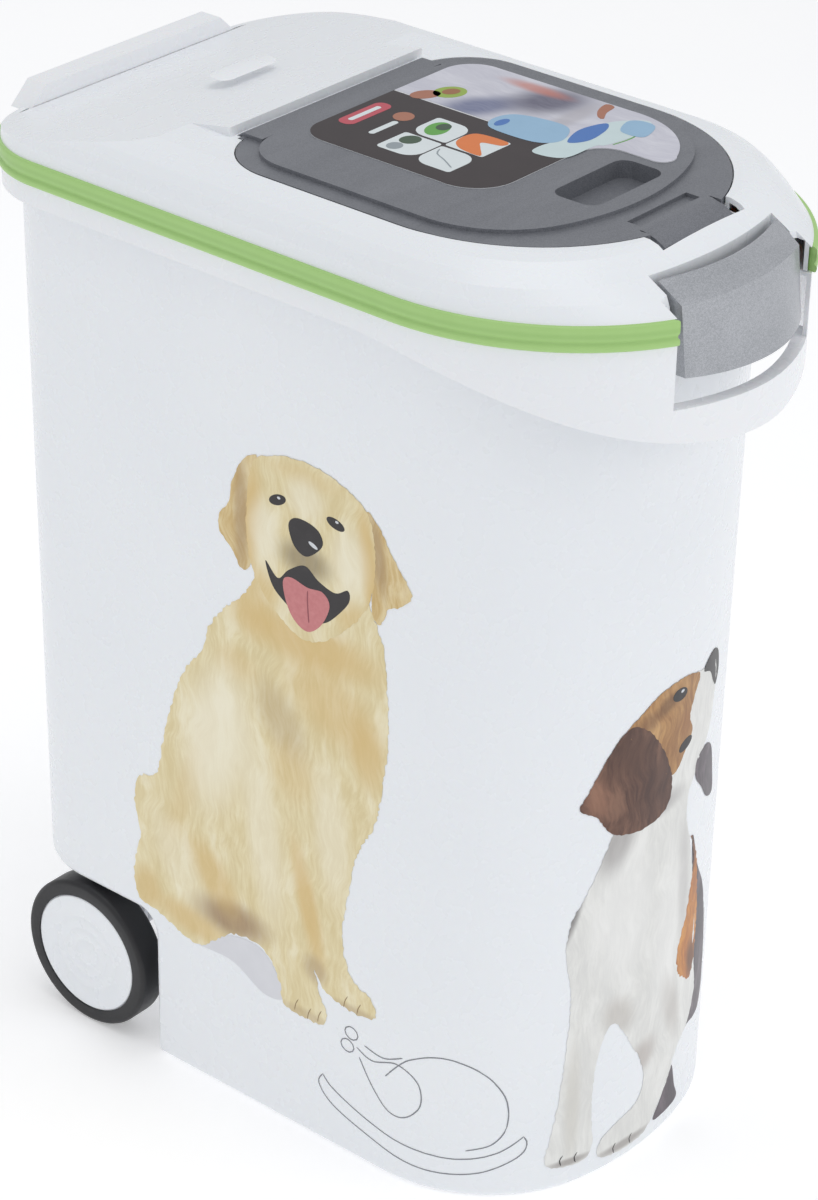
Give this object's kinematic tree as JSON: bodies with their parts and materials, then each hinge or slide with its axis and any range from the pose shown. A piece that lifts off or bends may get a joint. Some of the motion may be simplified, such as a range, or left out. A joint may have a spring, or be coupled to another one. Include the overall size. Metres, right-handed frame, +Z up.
{
  "type": "pet food bin",
  "caption": "Tall wheeled bin for dry pet food: D-shaped tub, hinged lid with a feeding flap, closing band, front latch over a grip bar, and rear wheels.",
  "frame": {"origin": "centre of the bounding box's bottom face, on the floor", "axes": "+Z up; -Y is the front with the latch, +Y the rear with the hinge and the wheels; +X is across the bin"},
  "size_m": [0.278, 0.482, 0.6056],
  "materials": {
    "white_plastic": "smooth white polypropylene, soft gloss",
    "green_band": "soft moulded green band",
    "flap_grey": "dark grey plastic with a fine metallic shimmer",
    "latch_grey": "silver-grey metallic plastic",
    "gasket": "soft grey sealing ring",
    "label": "printed sticker, satin",
    "tyre_black": "black soft plastic tyre",
    "steel": "drawn steel rod"
  },
  "bodies": {
    "bin": {"tub": "white_plastic", "axle": "steel", "lid_hinge_pin": "steel", "push_nut_left": "steel", "push_nut_right": "steel"},
    "lid": {"lid": "white_plastic", "seal_band": "green_band"},
    "flap": {"flap": "flap_grey", "flap_gasket": "gasket", "flap_label": "label"},
    "latch": {"latch": "latch_grey"},
    "wheel_left": {"wheel_hub_left": "white_plastic", "wheel_tyre_left": "tyre_black", "wheel_cap_left": "white_plastic"},
    "wheel_right": {"wheel_hub_right": "white_plastic", "wheel_tyre_right": "tyre_black", "wheel_cap_right": "white_plastic"}
  },
  "joints": [
    {"name": "lid_hinge", "type": "hinge", "parent": "bin", "child": "lid", "pos_m": [0, 0.2345, 0.562], "axis": [-1, 0, 0], "range_deg": [0, 100]},
    {"name": "flap_hinge", "type": "hinge", "parent": "lid", "child": "flap", "pos_m": [0, 0.058, 0.5986], "axis": [-1, 0, 0], "range_deg": [0, 95]},
    {"name": "latch_pivot", "type": "hinge", "parent": "lid", "child": "latch", "pos_m": [0, -0.21, 0.578], "axis": [-1, 0, 0], "range_deg": [0, 25]},
    {"name": "wheel_left_spin", "type": "hinge", "parent": "bin", "child": "wheel_left", "pos_m": [-0.1176, 0.1447, 0.0492], "axis": [1, 0, 0], "continuous": true},
    {"name": "wheel_right_spin", "type": "hinge", "parent": "bin", "child": "wheel_right", "pos_m": [0.1176, 0.1447, 0.0492], "axis": [1, 0, 0], "continuous": true}
  ]
}
